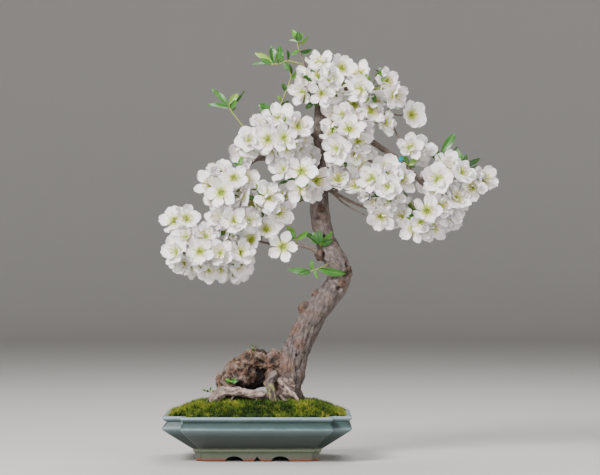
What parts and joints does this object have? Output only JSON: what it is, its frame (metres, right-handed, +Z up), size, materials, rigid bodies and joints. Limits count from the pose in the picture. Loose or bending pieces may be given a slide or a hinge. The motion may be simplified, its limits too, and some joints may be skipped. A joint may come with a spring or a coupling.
{
  "type": "japanese quince bonsai",
  "caption": "slanting miniature tree with a leaning, gnarled trunk and roots, covered in white blossom, growing from a mossy mound in a shallow glazed tray with notched corners",
  "frame": {"origin": "the middle of the whole object's bounding box in X and Y, at the level that the pot's feet stand on", "axes": "+Z up the tree, +X along the pot's long side towards the longer right-hand branches, -Y towards the viewer, where most flowers face"},
  "size_m": [0.4882, 0.2152, 0.6214],
  "materials": {
    "glazed_stoneware": "satin",
    "drain_mesh": "matte",
    "soil": "matte",
    "moss": "matte",
    "bark": "matte",
    "tie_tape": "satin",
    "petals": "satin",
    "leaves": "satin"
  },
  "bodies": {
    "root": {"tree_wood": "bark", "branch_tie": "tie_tape", "pot": "glazed_stoneware", "soil": "soil", "moss": "moss", "drain_mesh_left": "drain_mesh", "drain_mesh_right": "drain_mesh", "leaves_top": "leaves", "leaves_top_left": "leaves", "leaves_upper_twig": "leaves", "leaves_left_twig": "leaves", "leaves_crown_leaf": "leaves", "leaves_crown_right_leaf": "leaves", "leaves_right_twig_leaf": "leaves", "leaves_outer_right_leaf": "leaves", "leaves_end_leaf": "leaves", "leaves_middle_leaf": "leaves", "leaves_lower_inner_leaf": "leaves", "leaves_trunk_leaf": "leaves", "leaves_trunk_side_leaf": "leaves", "leaves_trunk_low_leaf": "leaves", "leaves_left_leaf": "leaves", "leaves_back_leaf": "leaves", "leaves_back_right_leaf": "leaves", "leaves_burl_fern": "leaves", "leaves_burl_sprig": "leaves", "leaves_root_sprig": "leaves", "blossom_crown": "petals", "blossom_crown_right": "petals", "blossom_upper_right": "petals", "blossom_lone_right": "petals", "blossom_inner_right": "petals", "blossom_below_crown": "petals", "blossom_middle_right": "petals", "blossom_under_right": "petals", "blossom_outer_right": "petals", "blossom_right_end": "petals", "blossom_far_right": "petals", "blossom_right_droop": "petals", "blossom_lower_right": "petals", "blossom_upper_left": "petals", "blossom_left_shoulder": "petals", "blossom_heart": "petals", "blossom_below_heart": "petals", "blossom_left_arm": "petals", "blossom_left_hollow": "petals", "blossom_left_middle": "petals", "blossom_left_inner_low": "petals", "blossom_lone_left": "petals", "blossom_left_low": "petals", "blossom_left_under": "petals", "blossom_left_tip": "petals", "blossom_back_low_inner": "petals", "blossom_back_low_outer": "petals", "blossom_back_left": "petals", "blossom_back_right_upper": "petals", "blossom_back_right_lower": "petals", "blossom_back_crown": "petals", "blossom_back_tip": "petals"}
  },
  "joints": []
}
